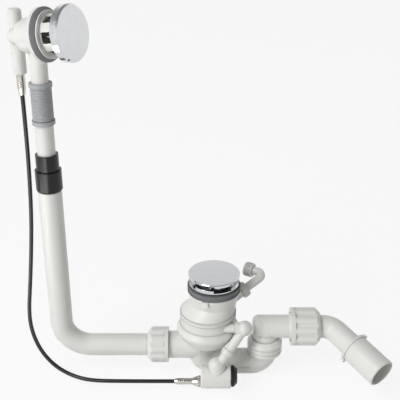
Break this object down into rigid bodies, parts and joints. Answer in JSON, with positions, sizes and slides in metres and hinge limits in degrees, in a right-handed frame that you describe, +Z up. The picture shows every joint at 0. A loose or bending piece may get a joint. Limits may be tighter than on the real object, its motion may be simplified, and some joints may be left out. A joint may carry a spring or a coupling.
{
  "type": "bath waste and overflow",
  "caption": "Bath waste and overflow: a turning knob moves a cable that lifts the plug; flexible overflow pipe, low trap, floor inlet and a swivelling drain outlet.",
  "frame": {"origin": "on the waste axis, in the plane of the bath floor's underside, which is the top of the floor gasket", "axes": "+Z up along the waste axis, +X towards the drain outlet and away from the overflow, -Y towards the side with the lever housing"},
  "size_m": [0.4929, 0.1553, 0.5233],
  "materials": {
    "white_plastic": "moulded polypropylene, satin",
    "chrome": "bright chrome plate",
    "grey_rubber": "matt grey rubber",
    "black_rubber": "matt black rubber",
    "black_plastic": "moulded black plastic, satin",
    "grey_plastic": "moulded grey acetal",
    "grey_hose": "ribbed soft grey plastic",
    "cable_black": "smooth black sheath",
    "nickel": "nickel plated",
    "steel": "plain stainless"
  },
  "bodies": {
    "waste": {"waste_flange": "chrome", "flange_gasket": "grey_rubber", "clamp_flange": "white_plastic", "inlet_elbow": "white_plastic", "inlet_nut": "white_plastic", "waste_bell": "white_plastic", "clamp_ring": "white_plastic", "bowl_seal": "black_rubber", "trap_body": "white_plastic", "overflow_bend_pipe": "white_plastic", "overflow_union_nut": "white_plastic", "overflow_union_seal": "black_rubber", "slip_coupling": "black_plastic", "coupling_seal": "black_rubber", "upper_pipe": "white_plastic", "flexible_hose": "grey_hose", "overflow_elbow": "white_plastic", "spindle_seal": "black_rubber", "overflow_gasket": "grey_rubber", "overflow_cage": "white_plastic", "overflow_screws": "steel", "drive_housing": "white_plastic", "drive_cap": "white_plastic", "upper_ferrule": "nickel", "bowden_cable": "cable_black", "lower_ferrule": "nickel", "cable_nut": "nickel", "lever_housing": "white_plastic", "housing_cap": "black_plastic", "lever_cap": "white_plastic", "shaft_seal": "black_rubber", "riser_nut": "white_plastic", "riser_seal": "black_rubber"},
    "dial": {"overflow_dial": "chrome", "dial_spindle": "grey_plastic"},
    "rack": {"drive_rack": "grey_plastic"},
    "slider": {"cable_slider": "grey_plastic"},
    "lever": {"lift_shaft": "grey_plastic"},
    "plug": {"plug_cap": "chrome", "plug_stem": "grey_plastic", "plug_seal": "black_rubber"},
    "outlet": {"outlet_elbow": "white_plastic", "outlet_union_nut": "white_plastic", "outlet_union_seal": "black_rubber"},
    "bend": {"outlet_bend": "white_plastic", "outlet_sleeve": "white_plastic"}
  },
  "joints": [
    {"name": "dial_turn", "type": "hinge", "parent": "waste", "child": "dial", "pos_m": [-0.211, 0, 0.338], "axis": [0.9047, -0.4028, 0.1392], "range_deg": [0, 90]},
    {"name": "rack_slide", "type": "slide", "parent": "waste", "child": "rack", "axis": [0, 0, 1], "range_m": [0, 0.00952]},
    {"name": "slider_slide", "type": "slide", "parent": "waste", "child": "slider", "axis": [-1, 0, 0], "range_m": [0, 0.00952]},
    {"name": "lever_turn", "type": "hinge", "parent": "waste", "child": "lever", "pos_m": [0, -0.026, -0.0545], "axis": [-1, 0, 0], "range_deg": [0, 14.4]},
    {"name": "plug_slide", "type": "slide", "parent": "waste", "child": "plug", "axis": [0, 0, -1], "range_m": [0, 0.00652]},
    {"name": "outlet_swivel", "type": "hinge", "parent": "waste", "child": "outlet", "pos_m": [0.072, 0, -0.069], "axis": [0, 0, 1], "range_deg": [-90, 90]},
    {"name": "bend_swivel", "type": "hinge", "parent": "outlet", "child": "bend", "pos_m": [0.135, 0, -0.069], "axis": [1, 0, 0], "continuous": true}
  ],
  "couplings": [
    {"joint": "rack_slide", "follows": "dial_turn", "m_per_rad": 0.006059},
    {"joint": "slider_slide", "follows": "dial_turn", "m_per_rad": 0.006059},
    {"joint": "lever_turn", "follows": "dial_turn", "ratio": 0.16},
    {"joint": "plug_slide", "follows": "dial_turn", "m_per_rad": 0.0041491}
  ]
}
